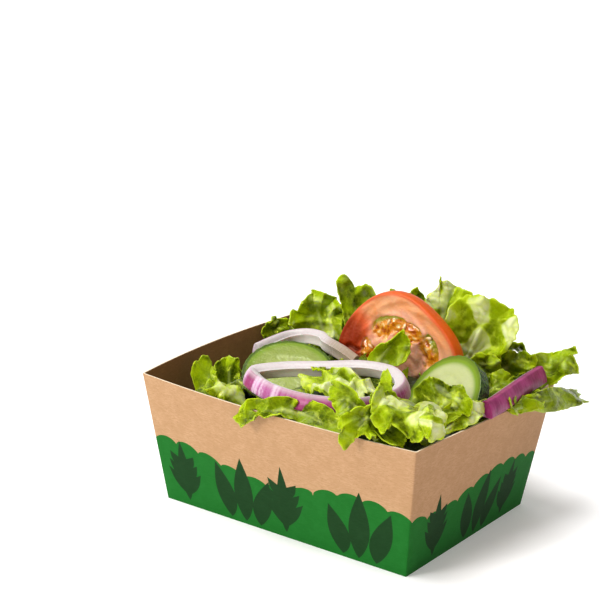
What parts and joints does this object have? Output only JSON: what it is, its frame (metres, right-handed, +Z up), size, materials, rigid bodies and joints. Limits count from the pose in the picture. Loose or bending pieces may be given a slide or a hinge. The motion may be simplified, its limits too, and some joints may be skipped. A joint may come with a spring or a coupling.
{
  "type": "side salad",
  "caption": "Side salad in an open board box with sloping walls: green leaf lettuce piled above the rim, with a tomato slice, cucumber slices and pieces of red onion on top.",
  "frame": {"origin": "centre of the underside of the box", "axes": "+X along the long side of the box, -Y towards the long wall that faces the viewer, +Z up"},
  "size_m": [0.1478, 0.1334, 0.0911],
  "materials": {
    "board": "matt brown kraft board with fine fibres, and a plain printed band of green foliage shapes on the lower half",
    "lettuce": "thin moist leaf, pale ribs and yellow-green frilled edges, slightly see-through",
    "tomato": "wet cut face with a peach flesh wall, orange-red gel and cream seeds, glossy red skin",
    "cucumber": "moist pale green cut face with a seedy middle, thin dark green skin",
    "onion": "moist white cut edge, lavender inner side, purple outer skin side"
  },
  "bodies": {
    "root": {"box": "board", "lettuce_heap": "lettuce", "tomato_slice": "tomato", "cucumber_slice_left": "cucumber", "cucumber_slice_right": "cucumber", "onion_ring_front": "onion", "onion_arc_back": "onion", "onion_strip_right": "onion"}
  },
  "joints": []
}
